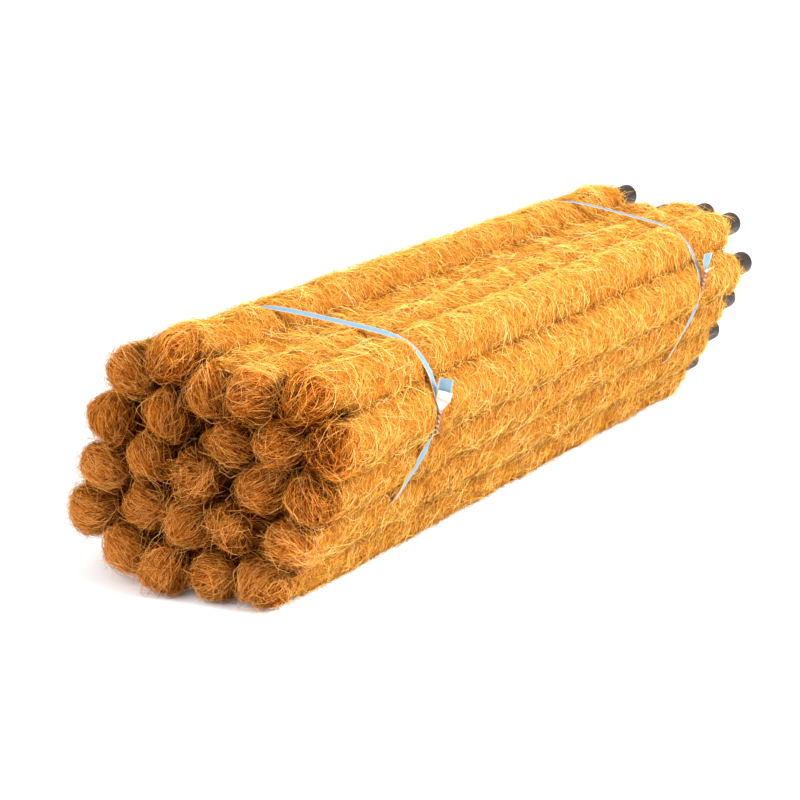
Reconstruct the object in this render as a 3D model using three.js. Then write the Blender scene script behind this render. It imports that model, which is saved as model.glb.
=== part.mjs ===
// A trade bundle of coir moss poles: round plastic pipes, each wrapped in a sleeve of coconut fibre
// that closes over one end as a domed head, stacked heads together and held by two twist ties.
// Millimetres. X runs along the poles from the heads to the bare pipes, and Z is up.
import * as THREE from 'three';

// Pole
const POLE_LENGTH = 800; // tip of the head to the cut end of the pipe
const COIR_DIAMETER = 40;
const HEAD_CROWN = 15; // height of the domed head
const HEAD_COVER = 22; // depth of coir over the end of the pipe
const FOOT_ROUNDING = 7; // where the coir thins out on the pipe
const PIPE_DIAMETER = 22;
const PIPE_WALL = 1.8;
const BARE_PIPE = 46; // pipe left free of coir, to be pushed into the soil
const PIPE_CLEARANCE = 0.3; // between the pipe and the bore of its sleeve
const POLE_CLEARANCE = 0.3; // between neighbouring sleeves in the stack

// Twist tie
const TIE_WIDTH = 8;
const TIE_THICKNESS = 0.8;
const TIE_CLEARANCE = 0.3; // between the ribbon and the coir
const FRONT_TIE_FROM_HEAD = 91;
const REAR_TIE_FROM_COIR_END = 132;
const NECK_BEND = 3; // radius at which both ends turn away from the bundle
const NECK_WIDTH = 4; // ribbon gathered narrow in the twist
const STALK_REACH = 4; // how far the twisted stalk stands off before it is bent up
const STALK_LENGTH = 14; // length of the twist
const STALK_TURNS = 0.92;
const STRAND_GAP = 0.6; // between the two strands of the twist
const TAIL_LENGTH = 20; // free ends beyond the twist
const TAIL_SPREAD = 5; // how far each tail stands off the line of the stalk

// Facets
const COIR_SIDES = 20;
const PIPE_SIDES = 16;
const HEAD_STEPS = 4;
const FOOT_STEPS = 2;
const TIE_ARC_STEP = THREE.MathUtils.degToRad(12);
const STALK_STEPS = 18;
const BEND_STEPS = 4;

const COIR_LENGTH = POLE_LENGTH - BARE_PIPE;

// The stack, seen from the heads: each pole's place across and up in pole spacings, bottom row first,
// and the millimetres by which its head and its pipe end stand back from, or out past, the others.
const STACK = [
  { across: 0.22, up: 0.0, head: 0, foot: 0 },
  { across: 1.15, up: 0.0, head: -8, foot: -6 },
  { across: -0.85, up: 0.0, head: 4, foot: 4 },
  { across: 1.95, up: 0.2, head: 0, foot: 8 },
  { across: 2.8, up: 0.65, head: 2, foot: -10 },
  { across: 1.6, up: 1.2, head: 3, foot: 5 },
  { across: 0.65, up: 0.9, head: 0, foot: -4 },
  { across: -0.45, up: 1.05, head: -2, foot: 12 },
  { across: -1.85, up: 0.95, head: 2, foot: -8 },
  { across: 2.65, up: 1.75, head: 0, foot: 3 },
  { across: 1.6, up: 2.0, head: 2, foot: -9 },
  { across: 0.25, up: 1.85, head: -3, foot: 6 },
  { across: -1.1, up: 1.9, head: 3, foot: -3 },
  { across: -2.25, up: 1.8, head: 4, foot: -12 },
  { across: 2.25, up: 2.85, head: -2, foot: 9 },
  { across: 1.08, up: 3.0, head: 0, foot: 0 },
  { across: -0.4, up: 2.6, head: 2, foot: -7 },
  { across: -1.5, up: 2.7, head: 0, foot: 10 },
  { across: -2.6, up: 2.65, head: 2, foot: -14 },
  { across: 1.85, up: 3.65, head: 1, foot: -5 },
  { across: 0.95, up: 4.05, head: 0, foot: 2 },
  { across: -0.12, up: 3.72, head: -1, foot: 22 },
  { across: -1.03, up: 3.7, head: -7, foot: 29 },
  { across: -2.08, up: 3.7, head: 0, foot: -2 },
];

// Each tie lies in a leaning plane: its lean is millimetres along the poles for each millimetre to
// the left or up. Its knot faces out of the right side, at an angle above the level.
const TIES = [
  { name: 'front_tie', at: FRONT_TIE_FROM_HEAD, leanAcross: -0.24, leanUp: 0.24, knotAngle: -18 },
  { name: 'rear_tie', at: COIR_LENGTH - REAR_TIE_FROM_COIR_END, leanAcross: -0.03, leanUp: 0.19, knotAngle: -2 },
];

const coirRadius = COIR_DIAMETER / 2;
const pipeRadius = PIPE_DIAMETER / 2;
const facetShare = Math.cos(Math.PI / COIR_SIDES); // middle of a facet against its corner
const boreRadius = (pipeRadius + PIPE_CLEARANCE) / facetShare;
const poleSpacing = COIR_DIAMETER + POLE_CLEARANCE;

function coirMaterial() {
  return new THREE.MeshStandardMaterial({ color: 0xc98a35, roughness: 0.95, metalness: 0 });
}

function pipeMaterial() {
  return new THREE.MeshStandardMaterial({ color: 0x231c18, roughness: 0.45, metalness: 0 });
}

function tieMaterial() {
  return new THREE.MeshStandardMaterial({ color: 0x78b9e0, roughness: 0.5, metalness: 0 });
}

// Revolves a profile of [radius, distance along the pole] about the X axis, with a facet facing down.
function turned(profile, sides) {
  const points = profile.map(([radius, along]) => new THREE.Vector2(radius, along));
  const geometry = new THREE.LatheGeometry(points, sides, Math.PI / sides);
  return geometry.rotateZ(-Math.PI / 2);
}

// Sleeve of coir with its domed head and the blind bore that the pipe fills.
function coirSleeve(headAt, footAt) {
  const coirEnd = footAt - BARE_PIPE;
  const profile = [];
  for (let i = 0; i <= HEAD_STEPS; i += 1) {
    const angle = (Math.PI / 2) * (i / HEAD_STEPS);
    profile.push([coirRadius * Math.sin(angle), headAt + HEAD_CROWN * (1 - Math.cos(angle))]);
  }
  const shoulder = (coirRadius - boreRadius) / 2;
  for (let i = 0; i <= FOOT_STEPS; i += 1) {
    const angle = (Math.PI / 2) * (i / FOOT_STEPS);
    const radius = coirRadius - shoulder * (1 - Math.cos(angle));
    profile.push([radius, coirEnd - FOOT_ROUNDING * (1 - Math.sin(angle))]);
  }
  profile.push([boreRadius, coirEnd]);
  profile.push([boreRadius, headAt + HEAD_COVER]);
  profile.push([0, headAt + HEAD_COVER]);
  return turned(profile, COIR_SIDES);
}

// Pipe, open at both ends, from just under the head to its cut end.
function corePipe(headAt, footAt) {
  const start = headAt + HEAD_COVER + PIPE_CLEARANCE;
  const bore = pipeRadius - PIPE_WALL;
  const outside = [[pipeRadius, start], [pipeRadius, footAt]];
  const inside = [[bore, footAt], [bore, start]];
  return turned([...outside, ...inside, outside[0]], PIPE_SIDES);
}

// Draws the stack together and pushes touching poles apart, until no two lie nearer than one spacing.
// The bottom row stays on the ground.
function settled(stack) {
  const DRAWN_STEPS = 60;
  const FREE_STEPS = 600;
  const DRAW = 0.0015; // share of the way to the middle of the stack, each step
  const places = stack.map(({ across, up }) => new THREE.Vector2(across, up));
  const sum = places.reduce((total, place) => total.add(place), new THREE.Vector2());
  const middle = sum.divideScalar(places.length);
  for (let step = 0; step < DRAWN_STEPS + FREE_STEPS; step += 1) {
    if (step < DRAWN_STEPS) {
      places.forEach((place) => place.lerp(middle, DRAW));
    }
    places.forEach((place, i) => {
      places.slice(0, i).forEach((other) => {
        const apart = place.clone().sub(other);
        const short = 1 - apart.length();
        if (short > 0) {
          apart.setLength(short / 2);
          place.add(apart);
          other.sub(apart);
        }
      });
    });
    places.forEach((place, i) => {
      place.y = stack[i].up === 0 ? 0 : Math.max(place.y, 0);
    });
  }
  return places.map((place) => place.multiplyScalar(poleSpacing));
}

// Corners of the convex outline round the pole axes, anticlockwise. Axes that lie on a straight run
// of the outline are left out.
function outline(places) {
  const STRAIGHT = 1e-6 * poleSpacing ** 2;
  const outer = (here, best, place) => {
    const toBest = best.clone().sub(here);
    const toPlace = place.clone().sub(here);
    const turn = toBest.cross(toPlace);
    return turn < -STRAIGHT || (turn < STRAIGHT && toPlace.length() > toBest.length());
  };
  const under = (low, place) => place.y < low.y || (place.y === low.y && place.x < low.x);
  const lowest = places.reduce((low, place) => (under(low, place) ? place : low));
  const corners = [];
  let corner = lowest;
  do {
    const here = corner;
    corners.push(here);
    const others = places.filter((place) => place !== here);
    corner = others.reduce((best, place) => (outer(here, best, place) ? place : best));
  } while (corner !== lowest);
  return corners;
}

// The ribbon's way round the stack from one side of the knot to the other, as points with the
// direction in which the bundle's surface faces there. It bends round the outer poles and runs
// straight between them.
function wayRound(places, knotFacing, lead) {
  const corners = outline(places);
  const ribbonRadius = (coirRadius + TIE_CLEARANCE) / Math.cos(TIE_ARC_STEP / 2) + TIE_THICKNESS / 2;
  const toward = (angle) => new THREE.Vector2(Math.cos(angle), Math.sin(angle));
  const reach = (corner, angle) => corner.dot(toward(angle));
  const foremost = (angle) => corners.reduce((a, b) => (reach(b, angle) > reach(a, angle) ? b : a));
  const point = (corner, angle) => {
    const out = toward(angle);
    return { at: corner.clone().addScaledVector(out, ribbonRadius), out };
  };
  const fullTurn = 2 * Math.PI;
  const start = knotFacing + lead / ribbonRadius;
  const stop = knotFacing + fullTurn - lead / ribbonRadius;
  const straights = corners.map((corner, i) => {
    const next = corners[(i + 1) % corners.length];
    const facing = next.clone().sub(corner).angle() - Math.PI / 2;
    return start + THREE.MathUtils.euclideanModulo(facing - start, fullTurn);
  });
  const turns = straights.filter((angle) => angle < stop).sort((a, b) => a - b);
  const stops = [start, ...turns, stop];
  const points = stops.slice(1).flatMap((to, i) => {
    const from = stops[i];
    const corner = foremost((from + to) / 2);
    const steps = Math.max(1, Math.ceil((to - from) / TIE_ARC_STEP));
    const angles = Array.from({ length: steps + 1 }, (_, step) => from + ((to - from) * step) / steps);
    return angles.map((angle) => point(corner, angle));
  });
  return { points, knot: point(foremost(knotFacing), knotFacing) };
}

// Width of the ribbon, from flat at 0 to gathered in the twist at 1.
function gathered(share) {
  return THREE.MathUtils.lerp(TIE_WIDTH, NECK_WIDTH, THREE.MathUtils.smoothstep(share, 0, 1));
}

// One strand of the knot, from the bundle out to its tail: it turns away from the surface, winds
// round the other strand along the stalk, which is bent up, and flares into its tail.
function knotStrand(start, knotAt, out, level, side) {
  const rise = new THREE.Vector3(0, 0, 1);
  const root = knotAt.clone().addScaledVector(out, NECK_BEND);
  const bendOut = root.clone().addScaledVector(out, STALK_REACH);
  const stalkTop = bendOut.clone().addScaledVector(rise, STALK_LENGTH + TAIL_LENGTH);
  const stalk = new THREE.QuadraticBezierCurve3(root, bendOut, stalkTop);
  const total = stalk.getLength();
  const half = (TIE_THICKNESS + STRAND_GAP) / 2;
  const TAIL_OPENING = 0.4; // share of the tail over which the ribbon opens out flat again
  const upward = new THREE.Vector3().crossVectors(level, out);
  const strandRoot = root.clone().addScaledVector(upward, side * half);
  const bendCorner = knotAt.clone().addScaledVector(upward, side * half);
  const bend = new THREE.QuadraticBezierCurve3(start, bendCorner, strandRoot);
  const stations = bend.getPoints(BEND_STEPS).slice(0, -1).map((at, i) => {
    return { at, across: level.clone(), width: gathered(i / BEND_STEPS) };
  });
  for (let i = 0; i <= STALK_STEPS; i += 1) {
    const share = i / STALK_STEPS;
    const along = stalk.getTangentAt(share);
    const twisted = Math.min(1, (share * total) / STALK_LENGTH);
    const tail = Math.max(0, (share * total - STALK_LENGTH) / (total - STALK_LENGTH));
    const angle = STALK_TURNS * 2 * Math.PI * twisted;
    const across = level.clone().applyAxisAngle(along, angle);
    const apart = new THREE.Vector3().crossVectors(across, along).normalize();
    const offset = half + TAIL_SPREAD * tail * tail;
    const at = stalk.getPointAt(share).addScaledVector(apart, side * offset);
    stations.push({ at, across, width: gathered(1 - Math.min(1, tail / TAIL_OPENING)) });
  }
  return stations;
}

// Sweeps the ribbon's flat section along its stations into one closed body. A station says which way
// the ribbon's width runs there and, where it lies on the bundle, which way its outer face looks.
function ribbon(stations) {
  const positions = [];
  const index = [];
  stations.forEach(({ at, across, facing, width }, i) => {
    const before = stations[Math.max(0, i - 1)].at;
    const after = stations[Math.min(stations.length - 1, i + 1)].at;
    const along = after.clone().sub(before).normalize();
    const thick = facing ? facing.clone() : new THREE.Vector3().crossVectors(along, across);
    thick.setLength(TIE_THICKNESS / 2);
    const wide = new THREE.Vector3().crossVectors(thick, along).setLength(width / 2);
    [[1, 1], [-1, 1], [-1, -1], [1, -1]].forEach(([w, t]) => {
      const corner = at.clone().addScaledVector(wide, w).addScaledVector(thick, t);
      positions.push(corner.x, corner.y, corner.z);
    });
  });
  const CORNERS = 4;
  for (let i = 0; i + 1 < stations.length; i += 1) {
    for (let c = 0; c < CORNERS; c += 1) {
      const here = i * CORNERS;
      const next = here + CORNERS;
      const turn = (c + 1) % CORNERS;
      index.push(here + c, here + turn, next + turn, here + c, next + turn, next + c);
    }
  }
  const last = (stations.length - 1) * CORNERS;
  index.push(0, 2, 1, 0, 3, 2, last, last + 1, last + 2, last, last + 2, last + 3);
  const geometry = new THREE.BufferGeometry();
  geometry.setAttribute('position', new THREE.Float32BufferAttribute(positions, 3));
  geometry.setIndex(index);
  return geometry;
}

// One twist tie round the whole stack, knotted on the right side.
function twistTie(places, { at, leanAcross, leanUp, knotAngle }) {
  const knotFacing = Math.PI - THREE.MathUtils.degToRad(knotAngle);
  const lead = NECK_BEND + (TIE_THICKNESS + STRAND_GAP) / 2;
  const { points, knot } = wayRound(places, knotFacing, lead);
  const place = (flat) => new THREE.Vector3(at + leanAcross * flat.x + leanUp * flat.y, flat.x, flat.y);
  const facing = (flat) => new THREE.Vector3(0, flat.x, flat.y);
  const level = new THREE.Vector3(1, 0, 0);
  const loop = points.map(({ at: flat, out }) => {
    return { at: place(flat), across: level, facing: facing(out), width: TIE_WIDTH };
  });
  const start = loop[0].at;
  const end = loop[loop.length - 1].at;
  const knotAt = place(knot.at);
  const out = facing(knot.out);
  const first = knotStrand(start, knotAt, out, level, -1).slice(1).reverse();
  const second = knotStrand(end, knotAt, out, level, 1).slice(1);
  return ribbon([...first, ...loop, ...second]);
}

const stack = new THREE.Group();
const places = settled(STACK);
const placed = (mesh, name) => {
  mesh.name = name;
  stack.add(mesh);
};

STACK.forEach(({ head, foot }, i) => {
  const number = String(i + 1).padStart(2, '0');
  const sleeve = new THREE.Mesh(coirSleeve(head, POLE_LENGTH + foot), coirMaterial());
  const pipe = new THREE.Mesh(corePipe(head, POLE_LENGTH + foot), pipeMaterial());
  sleeve.position.set(0, places[i].x, places[i].y);
  pipe.position.copy(sleeve.position);
  placed(sleeve, `coir_sleeve_${number}`);
  placed(pipe, `core_pipe_${number}`);
});

TIES.forEach((tie) => {
  placed(new THREE.Mesh(twistTie(places, tie), tieMaterial()), tie.name);
});

// The bundle's origin is the middle of the ground that it lies on.
const box = new THREE.Box3().setFromObject(stack);
const middle = box.getCenter(new THREE.Vector3());
stack.position.set(-middle.x, -middle.y, -box.min.z);
const bundle = new THREE.Group();
bundle.add(stack);

export default bundle;
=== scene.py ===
import math
from types import SimpleNamespace

import bpy
import numpy as np
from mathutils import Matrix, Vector


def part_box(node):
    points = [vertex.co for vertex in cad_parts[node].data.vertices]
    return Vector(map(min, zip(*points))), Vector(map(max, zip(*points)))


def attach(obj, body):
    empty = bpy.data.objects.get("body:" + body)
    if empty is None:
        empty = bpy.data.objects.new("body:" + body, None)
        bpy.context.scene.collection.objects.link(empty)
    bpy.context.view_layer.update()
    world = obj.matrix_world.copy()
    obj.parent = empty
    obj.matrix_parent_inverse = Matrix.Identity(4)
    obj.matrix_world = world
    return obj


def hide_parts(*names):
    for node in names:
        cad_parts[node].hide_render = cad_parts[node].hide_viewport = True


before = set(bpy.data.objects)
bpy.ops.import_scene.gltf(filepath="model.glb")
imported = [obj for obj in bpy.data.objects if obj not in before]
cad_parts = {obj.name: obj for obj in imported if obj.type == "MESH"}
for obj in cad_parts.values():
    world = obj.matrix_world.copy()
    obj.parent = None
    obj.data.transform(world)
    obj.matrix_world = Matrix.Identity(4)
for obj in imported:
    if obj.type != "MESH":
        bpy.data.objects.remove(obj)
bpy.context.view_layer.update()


# Camera: a long lens before the heads and to the right of the bundle, looking a little down on it.
CAMERA_AT = (-1.7346, -0.9404, 0.5995)
CAMERA_YAW = 30.315  # degrees from the poles' own direction towards the left
CAMERA_PITCH = 15.210  # degrees down
CAMERA_LENS = 103.91  # millimetres on a 36 mm sensor

bpy.ops.object.select_all(action="DESELECT")
camera_turn = (math.radians(90 - CAMERA_PITCH), 0, math.radians(CAMERA_YAW - 90))
bpy.ops.object.camera_add(location=CAMERA_AT, rotation=camera_turn)
camera = bpy.context.active_object
camera.data.lens = CAMERA_LENS
camera.data.sensor_width = 36
camera.data.clip_end = 100
bpy.context.scene.camera = camera


# Core pipes: a length of extruded brown-black plastic pipe runs through every pole, from just under
# its head to a sawn end that stands bare of coir, to be pushed into the soil. Hollow, 22 mm across.
PIPE_RADIUS = 0.011
PIPE_WALL = 0.0018
PIPE_SIDES = 48
RIM_SOFTENING = 0.0004  # the saw's burr, rubbed off
SAME_SPOT = 0.00001  # two places nearer than this are one

poles = {}
for number in [f"{count:02d}" for count in range(1, 25)]:
    sleeve_low, sleeve_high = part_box(f"coir_sleeve_{number}")
    pipe_low, pipe_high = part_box(f"core_pipe_{number}")
    poles[number] = SimpleNamespace(
        number=number,
        body="tied_stack" if number == "01" else f"pole_{number}",
        head=sleeve_low.x,
        coir_length=sleeve_high.x - sleeve_low.x,
        pipe_start=pipe_low.x,
        pipe_end=pipe_high.x,
        axis=np.array([(pipe_low.y + pipe_high.y) / 2, (pipe_low.z + pipe_high.z) / 2]),
    )


def copy_of(pattern, name):
    """A copy of a modelled piece, with a mesh of its own."""
    bpy.ops.object.select_all(action="DESELECT")
    pattern.select_set(True)
    bpy.context.view_layer.objects.active = pattern
    bpy.ops.object.duplicate(linked=False)
    copied = bpy.context.active_object
    copied.name = name
    copied.data.name = name
    return copied


def places_of(mesh):
    """A mesh's vertices as rows of x, y and z."""
    flat = np.empty(len(mesh.vertices) * 3)
    mesh.vertices.foreach_get("co", flat)
    return flat.reshape(-1, 3)


def linear(hex_colour):
    """An sRGB hex colour as linear red, green, blue and alpha."""
    shares = [int(hex_colour[at:at + 2], 16) / 255 for at in (1, 3, 5)]
    light = [s / 12.92 if s <= 0.04045 else ((s + 0.055) / 1.055) ** 2.4 for s in shares]
    return (*light, 1.0)


def plug(material, node, sockets):
    """Gives each named socket of a node a value or a link."""
    for name, value in sockets.items():
        if isinstance(value, bpy.types.NodeSocket):
            material.node_tree.links.new(value, node.inputs[name])
        else:
            node.inputs[name].default_value = value


def add_node(material, kind, sockets=None, **settings):
    """Adds a node with its settings, values and links."""
    made = material.node_tree.nodes.new(f"ShaderNode{kind}")
    for name, value in settings.items():
        setattr(made, name, value)
    plug(material, made, sockets or {})
    return made


def new_material(name):
    """An empty node material and its Principled shader, joined to the output."""
    material = bpy.data.materials.new(name)
    material.use_nodes = True
    material.node_tree.nodes.clear()
    shader = add_node(material, "BsdfPrincipled")
    add_node(material, "OutputMaterial", {"Surface": shader.outputs[0]})
    return material, shader


# Recycled PVC, extruded: a dull satin skin, cloudy between brown and black, drawn with faint lines
# along the pipe and dusted with coir, so that its highlight is broad and broken.
pvc, pvc_shader = new_material("extruded_brown_black_pvc")
pvc_spot = add_node(pvc, "TexCoord").outputs["Object"]
pvc_drawn = add_node(pvc, "Mapping", {"Vector": pvc_spot, "Scale": (0.04, 1, 1)}).outputs[0]
pvc_lines = add_node(pvc, "TexNoise", {
    "Vector": pvc_drawn, "Scale": 1 / 0.0011, "Detail": 4, "Roughness": 0.65}).outputs["Fac"]
pvc_cloud = add_node(pvc, "TexNoise", {
    "Vector": pvc_spot, "Scale": 1 / 0.018, "Detail": 3, "Roughness": 0.6}).outputs["Fac"]
pvc_mixed = add_node(pvc, "Mix", {
    0: pvc_cloud, 6: linear("#0F0806"), 7: linear("#20130E")}, data_type="RGBA").outputs[2]
pvc_specks = add_node(pvc, "TexNoise", {
    "Vector": pvc_spot, "Scale": 1 / 0.0022, "Detail": 2, "Roughness": 0.7}).outputs["Fac"]
pvc_dust = add_node(pvc, "MapRange", {
    "Value": pvc_specks, "From Min": 0.6, "From Max": 0.74, "To Min": 0, "To Max": 0.18}).outputs[0]
pvc_dusted = add_node(pvc, "Mix", {
    0: pvc_dust, 6: pvc_mixed, 7: linear("#7A5533")}, data_type="RGBA").outputs[2]
pvc_dull = add_node(pvc, "MapRange", {
    "Value": pvc_lines, "From Min": 0.3, "From Max": 0.7, "To Min": 0.34, "To Max": 0.56}).outputs[0]
pvc_grain = add_node(pvc, "Bump", {
    "Height": pvc_lines, "Strength": 0.35, "Distance": 0.00015}).outputs[0]
plug(pvc, pvc_shader, {
    "Base Color": pvc_dusted, "Roughness": pvc_dull, "IOR": 1.53, "Specular IOR Level": 0.12,
    "Normal": pvc_grain})

first = poles["01"]
pipe_middle = (first.pipe_start + first.pipe_end) / 2
bpy.ops.object.select_all(action="DESELECT")
bpy.ops.mesh.primitive_cylinder_add(
    vertices=PIPE_SIDES, radius=PIPE_RADIUS, depth=first.pipe_end - first.pipe_start,
    location=(pipe_middle, 0, 0), rotation=(0, math.pi / 2, 0))
pipe_pattern = bpy.context.active_object
bpy.ops.object.transform_apply(location=True, rotation=True, scale=True)
bpy.ops.object.mode_set(mode="EDIT")
bpy.ops.mesh.select_mode(type="FACE")
bpy.ops.mesh.select_all(action="DESELECT")
bpy.ops.object.mode_set(mode="OBJECT")
for face in pipe_pattern.data.polygons:
    face.select = abs(face.normal.x) > 0.9
bpy.ops.object.mode_set(mode="EDIT")
bpy.ops.mesh.inset(thickness=PIPE_WALL)
bpy.ops.mesh.bridge_edge_loops()
bpy.ops.mesh.select_mode(type="EDGE")
bpy.ops.mesh.select_all(action="DESELECT")
bpy.ops.object.mode_set(mode="OBJECT")
pipe_spots = places_of(pipe_pattern.data)
for edge in pipe_pattern.data.edges:
    ends = pipe_spots[list(edge.vertices)]
    rims = np.hypot(ends[:, 1], ends[:, 2])
    edge.select = bool(np.ptp(ends[:, 0]) < SAME_SPOT and np.ptp(rims) < SAME_SPOT)
bpy.ops.object.mode_set(mode="EDIT")
bpy.ops.mesh.bevel(offset=RIM_SOFTENING, segments=2)
bpy.ops.mesh.select_all(action="SELECT")
bpy.ops.mesh.normals_make_consistent(inside=False)
bpy.ops.object.mode_set(mode="OBJECT")
bpy.ops.object.shade_smooth_by_angle(angle=math.radians(40))
pipe_pattern.data.materials.append(pvc)

pipe_spots = places_of(pipe_pattern.data)
for pole in poles.values():
    pipe = copy_of(pipe_pattern, f"pipe_{pole.number}")
    spots = pipe_spots.copy()
    sawn = spots[:, 0] > pipe_middle
    spots[sawn, 0] += pole.pipe_end - first.pipe_end
    spots[~sawn, 0] += pole.pipe_start - first.pipe_start
    spots[:, 1:] += pole.axis
    pipe.data.vertices.foreach_set("co", spots.ravel())
    pipe.data.update()
    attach(pipe, pole.body)
    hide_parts(f"core_pipe_{pole.number}")
bpy.data.objects.remove(pipe_pattern)


# Coir sleeves: coconut fibre felted round the pipe, closed over one end as a domed head and left
# ragged at the other. The tied stack presses the soft sleeves flat where they meet, and the two
# ribbons draw a waist into those on the outside.
COIR_RADIUS = 0.0203
FELT_DEPTH = 0.0007  # the felt lies this far under the outermost strands
HEAD_CROWN = 0.0150  # length of the dome
HEAD_FLAT = 2.7  # 2 would be a round dome, more is flatter in front
HEAD_GAP = 0.0026  # heads stand this far clear of where the sleeves are pressed together
SQUASH_FILL = 0.0047  # how far a pressed sleeve swells into the gaps beside its neighbours
SQUASH_REACH = math.radians(63)  # either side of a neighbour
NEIGHBOUR = 0.047  # sleeves whose axes are nearer than this touch
TIE_RADIUS = 0.0199  # middle of the ribbon from the axis of the pole that it bends round
TIE_GAP = 0.0005  # between the ribbon and the coir pressed under it
TIE_EASE = 0.0190  # length over which a turn of the ribbon is rounded off
TIE_STEP = 0.0030  # between the ribbon's cross sections
TIE_BAND = 0.0050  # half the width of the coir that lies flat under a ribbon
TIE_REACH = 0.0130  # and where it is no longer drawn in
TIE_SINK = 0.0065  # depth of the ribbon low on the right side, where the coir closes over it
FRONT_TIE = SimpleNamespace(
    name="front_tie", from_head=0.0907, across=-0.24, up=0.24, knot_height=0.116,
    twist=780, short_tail=0.017, long_tail=0.026, short_lean=-0.004, long_lean=-0.006,
    width=0.0060, top_roll=17, lost=(0.050, 0.066))
REAR_TIE = SimpleNamespace(
    name="rear_tie", from_head=0.6220, across=-0.03, up=0.19, knot_height=0.130,
    twist=735, short_tail=0.004, long_tail=0.018, short_lean=-0.003, long_lean=-0.004,
    width=0.0046, top_roll=6, lost=(0.050, 0.064))
FELT_SIDES = 40
FELT_STEP = 0.0120
FELT_GRAIN = 0.00022  # unevenness of its surface
FELT_SHIFT = 0.9  # between the sleeves' unrolled maps, so that no two are alike
BORE_GAP = 0.0002
BORE_EYE = 0.0012  # the bore's end narrows to this and is closed with one face
FOOT_RIM = 0.0135  # inner edge of the felt where it ends round the pipe
FLOOR_GAP = 0.0003
FLOOR_NEAR = 0.003  # a round sleeve that is less than this above the ground rests on it


def smooth(low, high, value):
    """0 below low, 1 above high, and an easy slope between."""
    share = np.clip((value - low) / (high - low), 0, 1)
    return share * share * (3 - 2 * share)


def apart(angle, other):
    """How far two directions lie apart, from 0 to half a turn."""
    return np.abs((angle - other + math.pi) % (2 * math.pi) - math.pi)


axes = np.array([pole.axis for pole in poles.values()])
for index, pole in enumerate(poles.values()):
    away = axes - pole.axis
    gaps = np.hypot(away[:, 0], away[:, 1])
    near = (gaps > 0.001) & (gaps < NEIGHBOUR)
    pole.pressed = [(math.atan2(z, y), gap / 2) for (y, z), gap in zip(away[near], gaps[near])]
    if pole.axis[1] < COIR_RADIUS + FLOOR_NEAR:
        pole.pressed.append((-math.pi / 2, pole.axis[1] - 0.0004))
    draw = np.random.default_rng(4100 + index)
    pole.lumps = [
        (draw.uniform(0.00020, 0.00055), 2 * math.pi / draw.uniform(0.026, 0.110),
         int(draw.integers(-4, 5)), draw.uniform(0, 2 * math.pi)) for _ in range(9)]
    pole.bulges = [
        (draw.uniform(0.4, 1.0) * size, turns, draw.uniform(0, 2 * math.pi))
        for size, turns in ((0.0009, 2), (0.0008, 3), (0.0006, 5))]


def crowding(pole, angle):
    """1 where a neighbour or the ground presses on the sleeve, down to 0 where it is free."""
    share = np.zeros_like(angle)
    for towards, _ in pole.pressed:
        share = np.maximum(share, 1 - smooth(0.35 * SQUASH_REACH, SQUASH_REACH, apart(angle, towards)))
    return share


def tie_place(tie, y, z):
    """How far along the stack a tie's leaning plane lies, at a place across it and up."""
    return first.head + tie.from_head + tie.across * (y - first.axis[0]) + tie.up * (z - first.axis[1])


def stack_outline():
    """Corners of the convex outline round the pole axes, anticlockwise."""
    def half(points):
        chain = []
        for point in points:
            while len(chain) > 1:
                edge, step = chain[-1] - chain[-2], point - chain[-2]
                if edge[0] * step[1] - edge[1] * step[0] > 1e-9:
                    break
                chain.pop()
            chain.append(point)
        return chain[:-1]
    ordered = sorted(axes, key=lambda axis: (axis[0], axis[1]))
    return half(ordered) + half(ordered[::-1])


def unit(vectors):
    """Vectors brought to a length of 1."""
    return vectors / np.maximum(np.linalg.norm(vectors, axis=-1, keepdims=True), 1e-9)


def run_along(points):
    """Distance run along a row of points, from the first of them."""
    return np.concatenate([[0], np.cumsum(np.linalg.norm(np.diff(points, axis=0), axis=1))])


def ribbon_way():
    """The closed way of a ribbon round the stack: points across and up, and where it faces there.

    It runs straight between the outer poles and round each of them, and sinks into the soft coir where
    it turns, so the way is rounded off over TIE_EASE.
    """
    corners = stack_outline()
    outline = []
    for before, corner, after in zip(corners[-1:] + corners[:-1], corners, corners[1:] + corners[:1]):
        begin = math.atan2(*(corner - before)[::-1]) - math.pi / 2
        end = begin + (math.atan2(*(after - corner)[::-1]) - math.pi / 2 - begin) % (2 * math.pi)
        for angle in np.linspace(begin, end, 12):
            outline.append(corner + TIE_RADIUS * np.array([math.cos(angle), math.sin(angle)]))
    outline = np.array(outline + outline[:1])
    run = run_along(outline)
    count = round(run[-1] / TIE_STEP)
    spots = np.linspace(0, run[-1], count, endpoint=False)
    way = np.stack([np.interp(spots, run, outline[:, side]) for side in (0, 1)], axis=-1)
    reach = round(3 * TIE_EASE / TIE_STEP)
    weights = np.exp(-0.5 * (np.arange(-reach, reach + 1) * TIE_STEP / TIE_EASE) ** 2)
    eased = sum(weight * np.roll(way, shift, axis=0) for shift, weight in enumerate(weights, -reach))
    way = eased / weights.sum()
    ahead = np.roll(way, -1, axis=0) - np.roll(way, 1, axis=0)
    facings = np.stack([ahead[:, 1], -ahead[:, 0]], axis=-1)
    return way, unit(facings)


tie_way, tie_facings = ribbon_way()


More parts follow.
